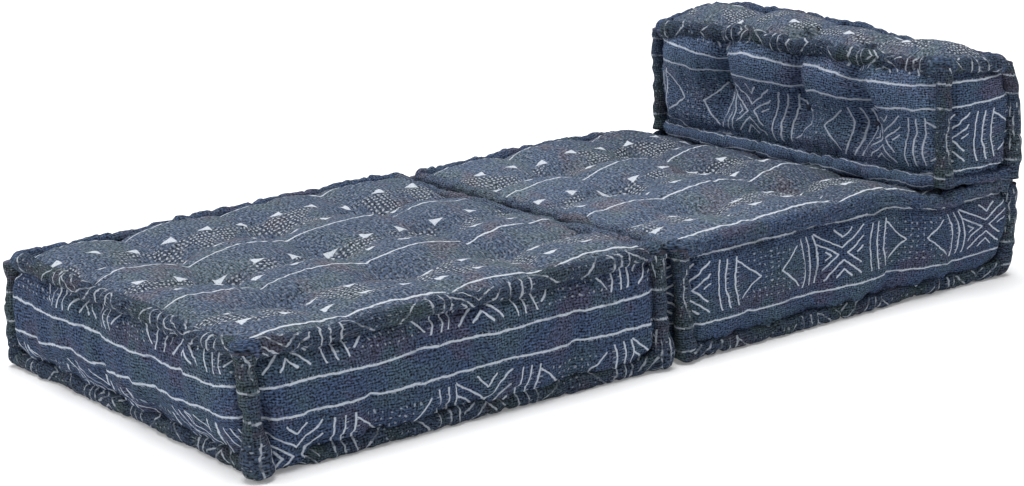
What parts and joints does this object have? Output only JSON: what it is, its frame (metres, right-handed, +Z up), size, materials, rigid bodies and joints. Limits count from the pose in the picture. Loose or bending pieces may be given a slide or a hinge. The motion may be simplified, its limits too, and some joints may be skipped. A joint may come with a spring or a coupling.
{
  "type": "modular sofa",
  "caption": "Low modular floor sofa: tufted cotton floor cushions with rolled edges in a row, and a matching back cushion that stands on the rear end.",
  "frame": {"origin": "on the floor, at the centre of the outline of the whole row", "axes": "+Z up; +Y along the row from the front floor cushion towards the back cushion, so the sitter faces -Y; +X towards the sitter's left"},
  "size_m": [0.7, 1.406, 0.3714],
  "materials": {
    "printed_cotton_top": "matte",
    "printed_cotton_side": "matte",
    "printed_cotton_roll": "matte",
    "cotton_stuffing": "matte",
    "tufting_twine": "matte"
  },
  "bodies": {
    "seat_cushion": {"seat_top_panel": "printed_cotton_top", "seat_base_panel": "printed_cotton_top", "seat_front_border": "printed_cotton_side", "seat_rear_border": "printed_cotton_side", "seat_left_border": "printed_cotton_side", "seat_right_border": "printed_cotton_side", "seat_top_roll": "printed_cotton_roll", "seat_base_roll": "printed_cotton_roll", "seat_corner_rolls": "printed_cotton_roll", "seat_cotton_core": "cotton_stuffing", "seat_tuft_ties": "tufting_twine", "seat_tuft_knots": "tufting_twine"},
    "front_cushion": {"front_top_panel": "printed_cotton_top", "front_base_panel": "printed_cotton_top", "front_front_border": "printed_cotton_side", "front_rear_border": "printed_cotton_side", "front_left_border": "printed_cotton_side", "front_right_border": "printed_cotton_side", "front_top_roll": "printed_cotton_roll", "front_base_roll": "printed_cotton_roll", "front_corner_rolls": "printed_cotton_roll", "front_cotton_core": "cotton_stuffing", "front_tuft_ties": "tufting_twine", "front_tuft_knots": "tufting_twine"},
    "back_cushion": {"back_top_panel": "printed_cotton_top", "back_base_panel": "printed_cotton_top", "back_front_border": "printed_cotton_side", "back_rear_border": "printed_cotton_side", "back_left_border": "printed_cotton_side", "back_right_border": "printed_cotton_side", "back_top_roll": "printed_cotton_roll", "back_base_roll": "printed_cotton_roll", "back_corner_rolls": "printed_cotton_roll", "back_cotton_core": "cotton_stuffing", "back_tuft_ties": "tufting_twine", "back_tuft_knots": "tufting_twine"}
  },
  "joints": [
    {"name": "front_pull", "type": "slide", "parent": "seat_cushion", "child": "front_cushion", "axis": [0, -1, 0], "range_m": [0, 0.5]},
    {"name": "back_lift", "type": "slide", "parent": "seat_cushion", "child": "back_cushion", "axis": [0, 0, 1], "range_m": [0, 0.3]}
  ]
}
